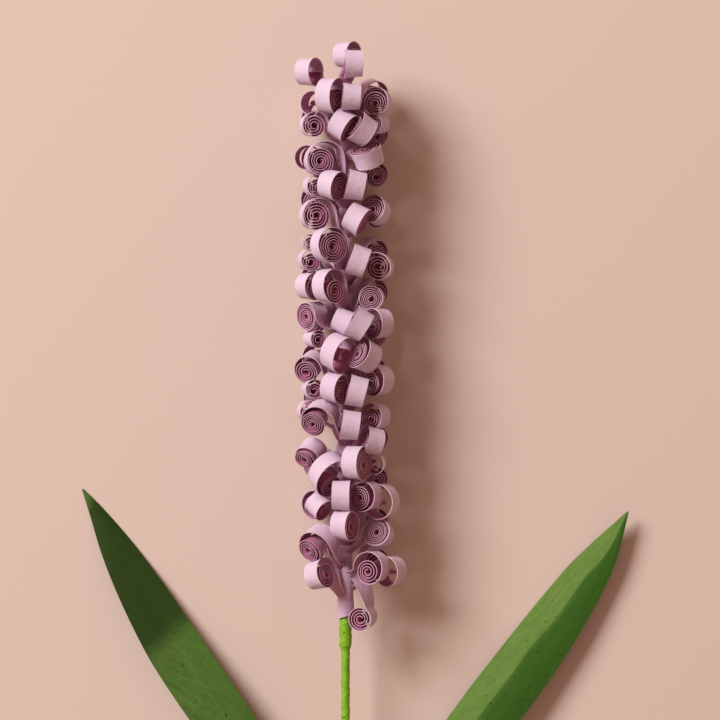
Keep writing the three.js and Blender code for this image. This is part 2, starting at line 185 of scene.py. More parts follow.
longFibre = {
    "pull": (1.0, 0.13, 1.0),
    "streakFrom": 0.32,
    "streakTo": 0.68,
    "speckScale": 700.0,
    "speckFrom": 0.71,
    "speckTo": 0.77,
    "speckStrength": 0.8,
}


# hand-made paper: long fibres lying one way in the sheet, and a few dark specks
def longFibresGroup():
    group, given, result = newGroup(
        "long fibres",
        {"Turn": 0.0, "Fine": 900.0},
        {"Streak": "NodeSocketFloat", "Speck": "NodeSocketFloat"},
    )
    place = addNode(group, "ShaderNodeTexCoord").outputs["Object"]
    turned = addNode(
        group,
        "ShaderNodeVectorRotate",
        {"Vector": place, "Angle": given.outputs["Turn"]},
        rotation_type="Z_AXIS",
    )
    pulled = addNode(
        group,
        "ShaderNodeVectorMath",
        {0: turned.outputs[0], 1: longFibre["pull"]},
        operation="MULTIPLY",
    )
    streak = noiseOf(group, pulled.outputs[0], given.outputs["Fine"], 3.0)
    streaks = rangeOf(group, streak, longFibre["streakFrom"], longFibre["streakTo"])
    speck = noiseOf(group, place, longFibre["speckScale"], 1.0)
    strength = longFibre["speckStrength"]
    specks = rangeOf(group, speck, longFibre["speckFrom"], longFibre["speckTo"], toHigh=strength)
    plug(group, result.inputs["Streak"], streaks)
    plug(group, result.inputs["Speck"], specks)
    return group


fibre = paperFibreGroup()
cutEdge = cutEdgeGroup()
longFibres = longFibresGroup()


def newMaterial(name, roughness, specular):
    material = bpy.data.materials.new(name)
    material.use_nodes = True
    shader = material.node_tree.nodes["Principled BSDF"]
    shader.inputs["Roughness"].default_value = roughness
    shader.inputs["Specular IOR Level"].default_value = specular
    return material, material.node_tree, shader


# Mauve paper of the curled fringes

petalPaper = {
    "pale": (0.69, 0.545, 0.665, 1.0),
    "full": (0.59, 0.45, 0.58, 1.0),
    # the dark purple-red of the faces deep inside a scroll, painted shade
    "inside": (0.42, 0.115, 0.24, 1.0),
    "edge": (0.70, 0.50, 0.60, 1.0),
    # the cut edges deep inside a scroll, darker: painted shade
    "shadedInnerEdge": (0.52, 0.30, 0.39, 1.0),
    "paleTo": 0.2,
    "fullFrom": 1.0,
    "roughness": 0.82,
    "shine": 0.25,
    "dentScale": 330.0,
    "dentStrength": 0.35,
    "dentDepth": 0.8 * mm,
}


def petalMaterial():
    material, tree, shader = newMaterial("mauve paper", petalPaper["roughness"], petalPaper["shine"])
    grain = useGroup(tree, fibre, Cloud=700.0, Tooth=6000.0, Relief=0.35)
    toneAndShadedHalf = addNode(tree, "ShaderNodeAttribute", attribute_name="toneAndShadedHalf")
    cloudy = mathOf(tree, "ADD", grain.outputs["Mask"], toneAndShadedHalf.outputs["Fac"])
    share = rangeOf(tree, cloudy, petalPaper["paleTo"], petalPaper["fullFrom"])
    outside = mixColour(tree, share, petalPaper["pale"], petalPaper["full"])
    # the deeper a face or cut edge lies inside a scroll, the darker and redder it is painted: painted shade
    shadeDepth = addNode(tree, "ShaderNodeAttribute", attribute_name="shadeDepth")
    sheet = mixColour(tree, shadeDepth.outputs["Fac"], outside, petalPaper["inside"])
    edge = mixColour(tree, shadeDepth.outputs["Fac"], petalPaper["edge"], petalPaper["shadedInnerEdge"])
    coloured = useGroup(tree, cutEdge, Sheet=sheet, Edge=edge)
    plug(tree, shader.inputs["Base Color"], coloured.outputs["Color"])
    # soft dents from rolling the fringes by hand
    place = addNode(tree, "ShaderNodeTexCoord").outputs["Object"]
    dents = noiseOf(tree, place, petalPaper["dentScale"], 2.0)
    dented = addNode(
        tree,
        "ShaderNodeBump",
        {
            "Height": dents,
            "Strength": petalPaper["dentStrength"],
            "Distance": petalPaper["dentDepth"],
            "Normal": grain.outputs["Normal"],
        },
    )
    plug(tree, shader.inputs["Normal"], dented.outputs["Normal"])
    return material


mauve = petalMaterial()
print("materials for the petals made")

# Curled fringes, in mm, turns and degrees

fringeCut = {
    "width": 6.35,
    "thickness": 0.3,
    "acrossSteps": 6,
    "turnSteps": 22,
    "neckSteps": 7,
    "spiralPitch": 0.95,
    "pitchPlay": 0.45,
    "innermost": 0.35,
    "flare": 8,
    "sleeve": 1.3,
    "band": 1.1,
    "reach": 13,
    "coreShare": 0.72,
    "coreDrop": 0.4,
    "slideFrom": 0.4,
    "slideOver": 0.8,
    "unround": 0.035,
    "wander": 0.5,
    "ragged": 0.06,
    "tintPlay": 0.25,
    "flatBow": 60,
}

# the neck of a fringe, between the wound edge and its scroll
neckCut = {
    "riseShare": 0.5,
    "rise": 2.5,
    "margin": 2,
    "rootDepth": 0.6,
    "clear": 0.8,
    "out": 0.3,
    "up": 0.25,
    "entry": 0.35,
    "twistPower": 1.6,
    "flatPower": 3,
}

# the one fringe that bends over joins its scroll past the top of it, where it already heads down
bentCut = {
    "entryTurn": 0.36,
    "stepsTimes": 3,
    "twist": 0.85,
    "twistTurns": 0.3,
    "flatPower": 4,
}

# how much painted shade the two faces of the paper take, darkening them towards the inside colour: 0 on the
# outside of a scroll, 1 deep inside it
paintedShade = {
    "band": 0.25,
    "bentNeck": 0.3,
    "root": 0.75,
    "neckFade": 0.25,
    "neckBack": 0.5,
    "rim": 0.45,
    "rimFade": 1.6,
    "coveredFrom": 0.8,
    "coveredOver": 0.5,
    "mouth": 0.55,
    "mouthOver": 1.2,
}


# the middle line of one fringe: its neck leaves the band and runs up into the scroll, which winds inwards
def fringePath(fringe, turns, fromDown, toDown):
    size = fringe["size"]
    out = fringe.get("out", fringeCut["reach"])
    around = fringe.get("around")
    if around is None:
        around = math.degrees(math.asin(clamp(fringe["side"] / out, -1, 1)))
    core = fringe.get("core", size * fringeCut["coreShare"])
    shiftOut, shiftUp = fringe.get("shift", (0, (core - size) * fringeCut["coreDrop"]))
    turned = (
        Matrix.Rotation(math.radians(fringe["faces"]), 3, "Y")
        @ Matrix.Rotation(math.radians(-fringe.get("lean", 0)), 3, "Z")
    )
    across, upwards, outwards = turned.col[0].copy(), turned.col[1].copy(), turned.col[2].copy()
    angle = math.radians(around)
    centre = Vector((math.sin(angle) * out, -fringe["down"], math.cos(angle) * out))

    rise = fringe.get("rise", size * neckCut["riseShare"] + neckCut["rise"])
    rootDown = clamp(fringe["down"] + rise, fromDown + neckCut["margin"], toDown - neckCut["margin"])
    rootAngle = math.radians(fringe.get("rootAround", around))
    rootOut = Vector((math.sin(rootAngle), 0, math.cos(rootAngle)))
    rootAcross = Vector((math.cos(rootAngle), 0, -math.sin(rootAngle)))
    rootDepth = fringeCut["sleeve"] + fringeCut["band"] * neckCut["rootDepth"]
    root = rootOut * rootDepth + Vector((0, -rootDown, 0))

    outerRadius = (size - fringeCut["thickness"]) / 2
    coreRadius = (core - fringeCut["thickness"]) / 2
    slide = fringe.get("slide", 0)
    seed = fringe["down"] * 1.7 + size

    def roll(turn):
        eased = smooth(turn)
        if turn < 1:
            radius = lerp(outerRadius, coreRadius, eased)
        else:
            radius = lerp(coreRadius, fringeCut["innermost"], (turn - 1) / max(turns - 1, 0.01))
        bend = math.pi - turn * 2 * math.pi
        radius *= 1 + fringeCut["unround"] * noise.noise(Vector((seed, turn * 3.1, 0))) * min(1, 2 * turn)
        sideways = slide * clamp((turn - fringeCut["slideFrom"]) / fringeCut["slideOver"], 0, 1)
        sideways += fringeCut["wander"] * noise.noise(Vector((seed, 7.3, turn * 1.3))) * min(1, turn)
        return (
            centre
            + outwards * (shiftOut * eased + radius * math.cos(bend))
            + upwards * (shiftUp * eased + radius * math.sin(bend))
            + across * sideways
        )

    # the scroll winds into a shallow cone that opens upwards
    opening = math.tan(math.radians(fringeCut["flare"])) * (-1 if across.z < 0 else 1)

    def wideAt(turn):
        bend = math.pi - turn * 2 * math.pi
        tipped = opening * smooth(turn)
        tip = outwards * tipped * math.cos(bend) + upwards * tipped * math.sin(bend)
        return (across + tip).normalized()

    bentOver = "over" in fringe
    entryTurn = bentCut["entryTurn"] if bentOver else 0
    entryAngle = math.pi - entryTurn * 2 * math.pi
    entry = roll(entryTurn)
    reach = (entry - root).length
    heading = outwards * math.sin(entryAngle) - upwards * math.cos(entryAngle)
    handles = [
        root,
        root + rootOut * reach * neckCut["out"] + Vector((0, reach * neckCut["up"], 0)),
        entry - heading * reach * neckCut["entry"],
        entry,
    ]
    if bentOver:
        handles[1:3] = [Vector((side, -down, height)) for side, down, height in fringe["over"]]

    def neck(t):
        s = 1 - t
        a, b, c, d = handles
        return a * s**3 + b * 3 * s * s * t + c * 3 * s * t * t + d * t**3

    stations = []
    neckSteps = fringeCut["neckSteps"] * (bentCut["stepsTimes"] if bentOver else 1)
    flatPower = bentCut["flatPower"] if bentOver else neckCut["flatPower"]
    rootBow = fringeCut["sleeve"] + fringeCut["band"] + neckCut["clear"]
    for step in range(neckSteps):
        t = step / neckSteps
        twist = bentCut["twist"] * t * t if bentOver else t**neckCut["twistPower"]
        wide = rootAcross.lerp(wideAt(entryTurn), twist).normalized()
        bow = lerp(rootBow, fringeCut["flatBow"], t**flatPower)
        # painted shade on the neck's faces, heaviest at its root
        shadeDepths = [paintedShade["root"] - paintedShade["neckFade"] * t, paintedShade["neckBack"]]
        if bentOver:
            shadeDepths = [paintedShade["bentNeck"], paintedShade["bentNeck"]]
        stations.append({"point": neck(t), "wide": wide, "bow": bow, "shadeDepths": shadeDepths})
    steps = round((turns - entryTurn) * fringeCut["turnSteps"])
    for step in range(steps + 1):
        turn = entryTurn + step / fringeCut["turnSteps"]
        # painted shade on the scroll's faces, deeper as it winds inwards
        covered = smooth((turn - paintedShade["coveredFrom"]) / paintedShade["coveredOver"])
        outer = max(paintedShade["rim"] - paintedShade["rimFade"] * turn, covered, 0)
        inner = lerp(paintedShade["mouth"], 1, smooth(turn / paintedShade["mouthOver"]))
        twist = 1
        if bentOver:
            twist = lerp(bentCut["twist"], 1, smooth((turn - entryTurn) / bentCut["twistTurns"]))
        wide = rootAcross.lerp(wideAt(turn), twist).normalized()
        bow = fringeCut["flatBow"]
        stations.append({"point": roll(turn), "wide": wide, "bow": bow, "shadeDepths": [inner, outer]})
    return stations


class SheetBuilder:
    # gathers sheets of paper or tape into one mesh, with the faces of their cut rims marked

    def __init__(self):
        self.points = []
        self.faces = []
        self.rims = []
        self.tints = []
        self.shadeDepths = []

    def addFace(self, corners, rim=0.0):
        self.faces.append(corners)
        self.rims.append(rim)

    def addGrid(self, rows, tints, closedAcross=False, shadeDepths=None):
        # rows hold pairs of points, one on each face of the sheet, and the depths the painted shade of the
        # two faces
        count = len(rows[0])
        start = len(self.points)
        for index, row in enumerate(rows):
            for column, (front, back) in enumerate(row):
                self.points += [toWorld(front), toWorld(back)]
                self.tints += [tints[column], tints[column]]
                self.shadeDepths += shadeDepths[index] if shadeDepths else [0, 0]

        def at(row, column, face):
            return start + (row * count + column % count) * 2 + face

        spans = count if closedAcross else count - 1
        for row in range(len(rows) - 1):
            for column in range(spans):
                a, b = at(row, column, 0), at(row, column + 1, 0)
                c, d = at(row + 1, column + 1, 0), at(row + 1, column, 0)
                self.addFace([a, b, c, d])
                self.addFace([d + 1, c + 1, b + 1, a + 1])
            if not closedAcross:
                a, b = at(row, 0, 0), at(row + 1, 0, 0)
                self.addFace([a, b, b + 1, a + 1], rim=1.0)
                a, b = at(row, count - 1, 0), at(row + 1, count - 1, 0)
                self.addFace([b, a, a + 1, b + 1], rim=1.0)
        last = len(rows) - 1
        for column in range(spans):
            a, b = at(0, column, 0), at(0, column + 1, 0)
            self.addFace([b, a, a + 1, b + 1], rim=1.0)
            a, b = at(last, column, 0), at(last, column + 1, 0)
            self.addFace([a, b, b + 1, a + 1], rim=1.0)

    def build(self, name, material, crease=50):
        mesh = bpy.data.meshes.new(name)
        mesh.from_pydata(self.points, [], self.faces)
        # the faces of every sheet turned outwards
        shells = bmesh.new()
        shells.from_mesh(mesh)
        bmesh.ops.recalc_face_normals(shells, faces=shells.faces[:])
        shells.to_mesh(mesh)
        shells.free()
        mesh.attributes.new("rim", "FLOAT", "FACE").data.foreach_set("value", self.rims)
        mesh.attributes.new("toneAndShadedHalf", "FLOAT", "POINT").data.foreach_set("value", self.tints)
        mesh.attributes.new("shadeDepth", "FLOAT", "POINT").data.foreach_set("value", self.shadeDepths)
        mesh.polygons.foreach_set("use_smooth", [True] * len(self.faces))
        mesh.materials.append(material)
        piece = bpy.data.objects.new(name, mesh)
        bpy.context.scene.collection.objects.link(piece)
        mesh.update()
        mesh.set_sharp_from_angle(angle=math.radians(crease))
        return piece


def addFringe(sheets, fringe, fromDown, toDown):
    core = fringe.get("core", fringe["size"] * fringeCut["coreShare"])
    uneven = noise.noise(Vector((fringe["down"] * 0.7, fringe["size"], 4)))
    pitch = fringeCut["spiralPitch"] * (1 + fringeCut["pitchPlay"] * uneven)
    wound = (core / 2 - fringeCut["innermost"]) / pitch
    turns = fringe.get("turns", 1 + wound)
    stations = fringePath(fringe, turns, fromDown, toDown)
    seed = fringe["down"] * 3.1 + fringe["size"]
    half = fringeCut["acrossSteps"]
    rows = []
    for index, station in enumerate(stations):
        before = stations[max(index - 1, 0)]["point"]
        after = stations[min(index + 1, len(stations) - 1)]["point"]
        along = (after - before).normalized()
        thick = station["wide"].cross(along).normalized()
        flat = along.cross(thick).normalized()
        bow = station["bow"]
        row = []
        for column in range(half + 1):
            share = column / half * 2 - 1
            reach = share * fringeCut["width"] / 2
            if abs(share) == 1:
                reach += fringeCut["ragged"] * noise.noise(Vector((seed, index * 0.23, share * 9)))
            lift = bow * math.cos(reach / bow) - bow
            middle = station["point"] + flat * bow * math.sin(reach / bow) + thick * lift
            offset = thick * fringeCut["thickness"] / 2
            row.append((middle + offset, middle - offset))
        rows.append(row)
    shadeDepths = [station["shadeDepths"] for station in stations]
    toneAndShadedHalf = fringeCut["tintPlay"] * noise.noise(Vector((seed, 1, 1)))
    sheets.addGrid(rows, [toneAndShadedHalf] * (half + 1), shadeDepths=shadeDepths)


# the uncut edge of a strip, wound round the wire
def addBand(sheets, fromDown, toDown, slant):
    sides = head["bandSides"]
    steps = round((toDown - fromDown) / head["bandRowPitch"])
    rows = []
    for step in range(steps + 1):
        down = lerp(fromDown, toDown, step / steps)
        row = []
        for side in range(sides):
            angle = side / sides * 2 * math.pi
            cuff = smooth((down - head["cuffTop"]) / (head["bottom"] - head["cuffTop"]))
            radius = lerp(head["bandRadius"], head["cuffRadius"], cuff)
            bump = noise.noise(Vector((math.sin(angle) * 1.5, down * 0.12, math.cos(angle) * 1.5)))
            radius += head["bandUneven"] * bump
            tilt = slant * math.sin(angle) * smooth((down - toDown) / head["slantLength"] + 1)
            front = Vector((math.sin(angle) * radius, -down + tilt, math.cos(angle) * radius))
            inner = fringeCut["sleeve"]
            back = Vector((math.sin(angle) * inner, -down + tilt, math.cos(angle) * inner))
            row.append((front, back))
        rows.append(row)
    # a little painted shade on the wound band
    shadeDepths = [[paintedShade["band"], paintedShade["band"]]] * len(rows)
    sheets.addGrid(rows, [0.0] * sides, closedAcross=True, shadeDepths=shadeDepths)


# down and side place a scroll's centre and out is its distance from the stem's middle. faces is the way it
# looks, in degrees round the stem, and lean tips it sideways. size is its widest turn and core the next one
# in, which shift and slide move off the middle. rise and rootAround place the foot of the neck, and over
# gives the two bends of a neck that bends over.
topFringes = [
    {"down": 10.8, "side": -13.2, "faces": -32, "size": 10, "core": 9.4, "turns": 1.05, "out": 14},
    {"down": 8.6, "side": 2.9, "faces": 4, "size": 10.4, "out": 14, "rise": 6},
    {"down": 4.9, "side": 0.5, "faces": -37, "size": 9.6, "core": 7.8, "turns": 1.5, "out": 7.6, "rise": 9},
    {"down": 19.8, "side": -5.4, "faces": -30, "size": 13.7, "core": 8.5, "lean": 3},
    {"down": 20.5, "side": 2, "faces": 5, "size": 10, "lean": 4, "out": 15},
    {"down": 21.2, "side": 11.6, "faces": 75, "size": 10.2, "core": 7.5},
    {"down": 29.4, "side": 11.6, "faces": 58, "size": 7.6, "out": 12.8},
    {"down": 22, "side": -11.2, "faces": -112, "size": 9, "turns": 1.3, "out": 12.4},
    {"down": 30.2, "side": -11.4, "faces": -75, "size": 10.2, "core": 6.8, "shift": (0.6, -0.3)},
    {"down": 30.2, "side": -1, "faces": -21, "lean": 30, "size": 11, "out": 12.8},
    {"down": 31.9, "side": 6, "faces": 24, "lean": 32, "size": 11.6, "out": 14.2},
    {"down": 42.5, "side": -7.7, "faces": -75, "size": 14, "core": 8.8, "shift": (2, -0.8), "out": 12},
    {"down": 41.4, "side": -13.6, "faces": -100, "size": 9.2, "turns": 1.3, "out": 14.2},
    {"down": 41.4, "side": 8, "faces": 56, "lean": 62, "size": 12, "core": 9.6, "out": 13.4,
     "rise": 3, "rootAround": 4},
    {"down": 51.5, "side": -11.2, "faces": -70, "size": 8, "out": 12},
    {"down": 51.5, "side": -4.8, "faces": -34, "lean": 12, "size": 11, "out": 12.4},
    {"down": 51.8, "side": 3.6, "faces": 5, "lean": 12, "size": 11, "out": 13.4},
    {"down": 60.4, "side": 11, "faces": 65, "lean": 15, "size": 10.4, "core": 8},
    {"down": 62.4, "side": -10, "faces": -72, "size": 12.8, "core": 9.2, "shift": (1.4, -0.2), "out": 11.9},
    {"down": 63.8, "side": 3.8, "faces": -15, "lean": 28, "size": 10.6, "core": 9.4},
]

middleFringes = [
    {"down": 71.8, "side": -13.2, "faces": -80, "size": 5.8, "turns": 2.8, "out": 13.9},
    {"down": 73, "side": -6, "faces": -57, "size": 13, "core": 10.6, "out": 13.6},
    {"down": 78.8, "side": 4.6, "faces": 2, "lean": 20, "size": 11.6},
    {"down": 81.6, "side": 11.5, "faces": 76, "size": 12.6, "core": 7.4, "shift": (0.9, 0.6), "out": 12.8},
    {"down": 78.2, "side": -13.2, "faces": -72, "size": 8, "turns": 3.6, "out": 14.2},
    {"down": 87.6, "side": -12.9, "faces": -50, "size": 10.2, "out": 14.2},
    {"down": 87.6, "side": -6.3, "faces": -45, "size": 13.4, "core": 7.4, "shift": (0, -2.1), "slide": 0.6},
    {"down": 91.8, "side": 9.6, "faces": 80, "size": 8.8, "core": 7.4, "out": 10.4},
    {"down": 98, "side": -12, "faces": -135, "lean": 5, "size": 9.8, "core": 8.4, "out": 12.6},
    {"down": 100.2, "side": -0.8, "faces": -12, "lean": 22, "size": 9, "out": 10.8},
    {"down": 101.2, "side": 4.8, "faces": 8, "lean": 32, "size": 12, "out": 14.2},
    {"down": 100.8, "side": 12, "faces": 45, "size": 11.6, "core": 7, "out": 13.8},
    {"down": 106.4, "side": -11.4, "faces": -60, "size": 6.4, "turns": 2.8, "out": 12},
    {"down": 111.4, "side": -2.9, "faces": -35, "lean": 18, "size": 14, "core": 9.5, "turns": 1.8},
    {"down": 112.6, "side": 7.2, "faces": 40, "lean": 25, "size": 12.2, "core": 9.2, "slide": -0.8},
    {"down": 116.6, "side": -12.4, "faces": -112, "lean": 20, "size": 11, "core": 7.6, "shift": (0.8, -1)},
    {"down": 124.4, "side": -12, "faces": -72, "size": 7.2, "turns": 3.4, "out": 13},
    {"down": 124, "side": -4, "faces": -31, "lean": 8, "size": 11},
    {"down": 125.2, "side": 4, "faces": 3, "lean": 15, "size": 11.5},
    {"down": 122.2, "side": 12, "faces": 50, "size": 13.6, "core": 7.4, "shift": (-1, -0.4), "out": 13.6},
]

bottomFringes = [
    {"down": 132.4, "side": -13.6, "faces": -74, "size": 8, "turns": 3.6, "out": 14.2},
    {"down": 134.2, "side": 11, "faces": 55, "size": 10, "out": 12},
    {"down": 135, "side": -9, "faces": -110, "lean": 25, "size": 13, "core": 8.2, "shift": (1.4, 0),
     "slide": 1.6},
    {"down": 137.3, "side": 1.8, "faces": 3, "lean": 8, "size": 11},
    {"down": 143, "side": 9.5, "faces": 22, "lean": 14, "size": 10.5, "out": 13.6},
    {"down": 147.4, "side": -12.2, "faces": -122, "lean": 36, "size": 9.8, "core": 6.8, "shift": (1, 0),
     "slide": 1.2},
    {"down": 150.6, "side": 3.8, "faces": -28, "lean": 2, "size": 12.2, "core": 10.4},
    {"down": 151.2, "side": 11, "faces": 80, "size": 7.4, "turns": 1.8, "out": 12.4},
    {"down": 154.6, "side": -6.4, "faces": -50, "lean": 32, "size": 17, "core": 7.6,
     "shift": (-0.6, -3.6), "out": 11},
    {"down": 162.2, "side": -1.4, "faces": -5, "size": 11, "out": 13.8},
    {"down": 163.4, "side": 8.4, "faces": 58, "size": 12.4, "core": 8, "shift": (-1.6, 0), "slide": -0.8},
    {"down": 164.6, "side": 13, "faces": 62, "size": 13.2, "turns": 1.3, "out": 14.4},
    {"down": 166.2, "side": -9.6, "faces": -40, "lean": 30, "size": 8.2, "turns": 1.6},
    {"down": 173, "side": -0.4, "faces": -28, "lean": 2, "size": 10.6, "core": 9.6},
    {"down": 176.2, "side": 12, "faces": 70, "lean": 16, "size": 10.2, "core": 9.2},
    {"down": 180, "side": -9, "faces": -128, "lean": 28, "size": 14.6, "core": 8.2, "shift": (1.8, 0),
     "slide": 1.8},
    {"down": 188.8, "side": 10.2, "faces": 60, "size": 13.8, "core": 7.6, "shift": (-0.8, -0.8),
     "out": 13.8, "rise": 2.8, "rootAround": 18},
    {"down": 189.6, "side": 16.4, "faces": 55, "size": 11.2, "turns": 1.3, "out": 17.2},
    {"down": 191.2, "side": -8.8, "faces": -38, "lean": -15, "size": 13, "core": 7.6, "shift": (0.6, -0.4)},
    {"down": 206.4, "side": 6.3, "faces": 70, "size": 8.8, "core": 7.8, "out": 8,
     "rise": -2, "rootAround": -4, "over": [(-0.4, 177.5, 8), (7, 193, 5)]},
]


# the side that faces down: rows of three, pressed level where the head lies on the table, clear of the
# strips' ends
underside = {
    "rowPitch": 14.6,
    "placePitch": 4.6,
    "places": (-47, 0, 47),
    "size": 10.6,
    "aroundPlay": 5,
    "facesPlay": 14,
    "leanPlay": 16,
    "restDepth": 17.6,
    "clearTop": (8, 6),
    "clearMiddle": (2, 7),
    "clearBottom": (3, 16),
}


def lowerFringes(stripFrom, stripTo, clear):
    fromDown = stripFrom + clear[0]
    toDown = stripTo - clear[1]
    rows = math.ceil((toDown - fromDown) / underside["rowPitch"])
    made = []
    for row in range(rows):
        for place, offset in enumerate(underside["places"]):
            uneven = math.sin(row * 12.9 + place * 7.7 + fromDown)
            down = fromDown + row * underside["rowPitch"] + place * underside["placePitch"]
            if down > toDown:
                continue
            size = underside["size"] + uneven
            around = 180 + offset + uneven * underside["aroundPlay"]
            level = (underside["restDepth"] - size / 2) / abs(math.cos(math.radians(around)))
            made.append({
                "down": down,
                "around": around,
                "faces": around + uneven * underside["facesPlay"],
                "lean": uneven * underside["leanPlay"],
                "size": size,
                "out": min(level, fringeCut["reach"]),
            })
    return made


def petalStrip(name, node, fromDown, toDown, fringes, slant=0):
    sheets = SheetBuilder()
    addBand(sheets, fromDown, toDown, slant)
    for fringe in fringes:
        addFringe(sheets, fringe, fromDown, toDown)
    piece = sheets.build(name, mauve)
    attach(piece, "root")
    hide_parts(node)
    print(name, len(fringes), "fringes,", len(piece.data.polygons), "faces")


petalStrip(
    "petals_top", "petal_strip_top", head["top"], head["topEnd"] - head["gap"],
    topFringes + lowerFringes(head["top"], head["topEnd"], underside["clearTop"]),
)
petalStrip(
    "petals_middle", "petal_strip_middle", head["topEnd"], head["middleEnd"] - head["gap"],
    middleFringes + lowerFringes(head["topEnd"], head["middleEnd"], underside["clearMiddle"]),
)
petalStrip(
    "petals_bottom", "petal_strip_bottom", head["middleEnd"], head["bottom"],
    bottomFringes + lowerFringes(head["middleEnd"], head["bottom"], underside["clearBottom"]),
    head["slant"],
)

# Leaves, folded along the middle

leafPaper = {
    "thickness": 0.38,
    "lengthSteps": 7,
    "halfSteps": 6,
    "leastHalf": 0.2,
    "fullHalf": 4,
    "wave": 0.35,
    "bowl": 0.04,
    "foldWander": 0.8,
    "roughness": 0.75,
    "shine": 0.12,
    # the leaves' cut edges in dark brown, painted shade of their shadowed rims
    "edge": (0.12, 0.06, 0.025, 1.0),
    "foldPaler": 0.35,
    "farStreaks": 1.35,
    "speckShade": 0.5,
    # the slant and the wander of the lines that bound a leaf's band of painted shade
    "shadeBandSlant": 0.9,
    "shadeBandWander": 12 * mm,
    "mottleFrom": 0.38,
    "mottleTo": 0.66,
    "foldReach": 0.3,
}

stationKeys = ("side", "down", "height", "left", "right", "leftSlope", "rightSlope")


# along a leaf: where its fold is, how wide its two halves are, and how steeply they slope down from the fold
def leafStations(rows):
    return [dict(zip(stationKeys, row)) for row in rows]


leftLeaf = leafStations([
    (-96.1, 161.3, -17.1, 0.3, 0.3, 24, 20),
    (-91.3, 168.9, -16.2, 2.6, 2.4, 8, 22),
    (-83.2, 181.6, -15, 6.5, 4.8, -14, 25),
    (-73.1, 197.9, -12.6, 9.4, 6.8, -18, 20),
    (-62.3, 216, -10.2, 10.9, 8.5, -10, 11),
    (-52.2, 231.2, -8, 11.2, 9.1, -1, 4),
    (-42.3, 245.5, -6.6, 11, 9.2, 3, 3),
    (-31, 262.5, -6, 10, 8.6, 3, 14),
    (-18.4, 285, -5, 7.2, 6.6, 8, 14),
    (-7.6, 305.5, -3.3, 3.8, 3.8, 6, 8),
])

rightLeaf = leafStations([
    (102.6, 169.2, -11.2, 0.3, 0.3, 36, 12),
    (97.3, 179.5, -10.4, 4.4, 3.2, 42, 12),
    (92.6, 186.4, -10.1, 6, 5.9, 45, 12),
    (86.8, 193.4, -9.5, 6.9, 8.3, 47, 12),
    (78.4, 204.2, -8.7, 7.5, 10.5, 48, 12),
    (70, 214.6, -8, 7.6, 12.3, 48, 12),
    (59.7, 227.4, -6.8, 7.6, 13.4, 47, 12),
    (48.8, 241.6, -5.3, 7.8, 13.4, 45, 13),
    (34, 262, -2.6, 7.6, 12, 38, 14),
    (19, 284, 0.4, 6, 8.6, 28, 12),
    (8, 301.5, 2.1, 3.8, 4.4, 14, 8),
])


# the foot lies level along the stem, under the binding
leafFeet = {
    "downs": (317, 333, 348),
    "half": 1.3,
    "seat": 1.9,
    "thickness": 0.5,
}


def leafFoot(height):
    half = leafFeet["half"]
    return leafStations([(0, down, height, half, half, 0, 0) for down in leafFeet["downs"]])


# a smooth curve through the stations, for every one of their values
def between(stations, index, t, key):
    a, b, c, d = [
        stations[clamp(index + step, 0, len(stations) - 1)][key] for step in (-1, 0, 1, 2)
    ]
    return 0.5 * (2 * b + (c - a) * t + (2 * a - 5 * b + 4 * c - d) * t * t + (3 * b - a - 3 * c + d) * t**3)


# marks what lies past a line, with a soft edge
def pastLine(tree, edge, line, blur):
    return rangeOf(tree, edge, line - blur, line + blur)


# the leaf's half turned from the lamp takes colours of its own, painted shade and light; its fold is paler,
# and a leaf may have one band painted darker, painted shade
def leafMaterial(name, paper):
    material, tree, shader = newMaterial(name, leafPaper["roughness"], leafPaper["shine"])
    grain = useGroup(tree, fibre, Cloud=420.0, Tooth=3200.0, Relief=0.6)
    mottle = rangeOf(tree, grain.outputs["Mask"], leafPaper["mottleFrom"], leafPaper["mottleTo"])
    fibres = useGroup(tree, longFibres, Turn=math.radians(paper["fibreTurn"]), Fine=700.0)
    share = mathOf(tree, "MULTIPLY", mathOf(tree, "ADD", mottle, fibres.outputs["Streak"]), 0.5)
    near = mixColour(tree, share, paper["plain"], paper["speckled"])
    # the half turned from the lamp in colours of its own, painted shade and light
    far = mixColour(tree, share, paper["far"], [leafPaper["farStreaks"] * value for value in paper["far"]])
    half = addNode(tree, "ShaderNodeAttribute", attribute_name="toneAndShadedHalf").outputs["Fac"]
    sheet = mixColour(tree, half, near, far)
    offFold = mathOf(tree, "ABSOLUTE", mathOf(tree, "SUBTRACT", half, 0.5))
    # paler along the fold
    fold = rangeOf(tree, offFold, 0.0, leafPaper["foldReach"], leafPaper["foldPaler"], 0.0)
    sheet = mixColour(tree, fold, sheet, paper["speckled"])
    # a band of painted shade across the leaf, between two slanting lines
    if "shadeBandFrom" in paper:
        place = addNode(tree, "ShaderNodeTexCoord").outputs["Object"]
        slant = {0: place, 1: (-leafPaper["shadeBandSlant"], 1.0, 0.0)}
        line = addNode(tree, "ShaderNodeVectorMath", slant, operation="DOT_PRODUCT").outputs["Value"]
        wander = mathOf(tree, "MULTIPLY", grain.outputs["Mask"], leafPaper["shadeBandWander"])
        edge = mathOf(tree, "ADD", line, wander)
        pastBandStart = pastLine(tree, edge, paper["shadeBandFrom"], paper["fromBlur"])
        pastBandEnd = pastLine(tree, edge, paper["shadeBandTo"], paper["toBlur"])
        sheet = mixColour(tree, mathOf(tree, "SUBTRACT", pastBandStart, pastBandEnd), sheet, paper["dark"])
    speck = [leafPaper["speckShade"] * value for value in paper["dark"]]
    sheet = mixColour(tree, fibres.outputs["Speck"], sheet, speck)
    coloured = useGroup(tree, cutEdge, Sheet=sheet, Edge=leafPaper["edge"])
    plug(tree, shader.inputs["Base Color"], coloured.outputs["Color"])
    plug(tree, shader.inputs["Normal"], grain.outputs["Normal"])
    return material


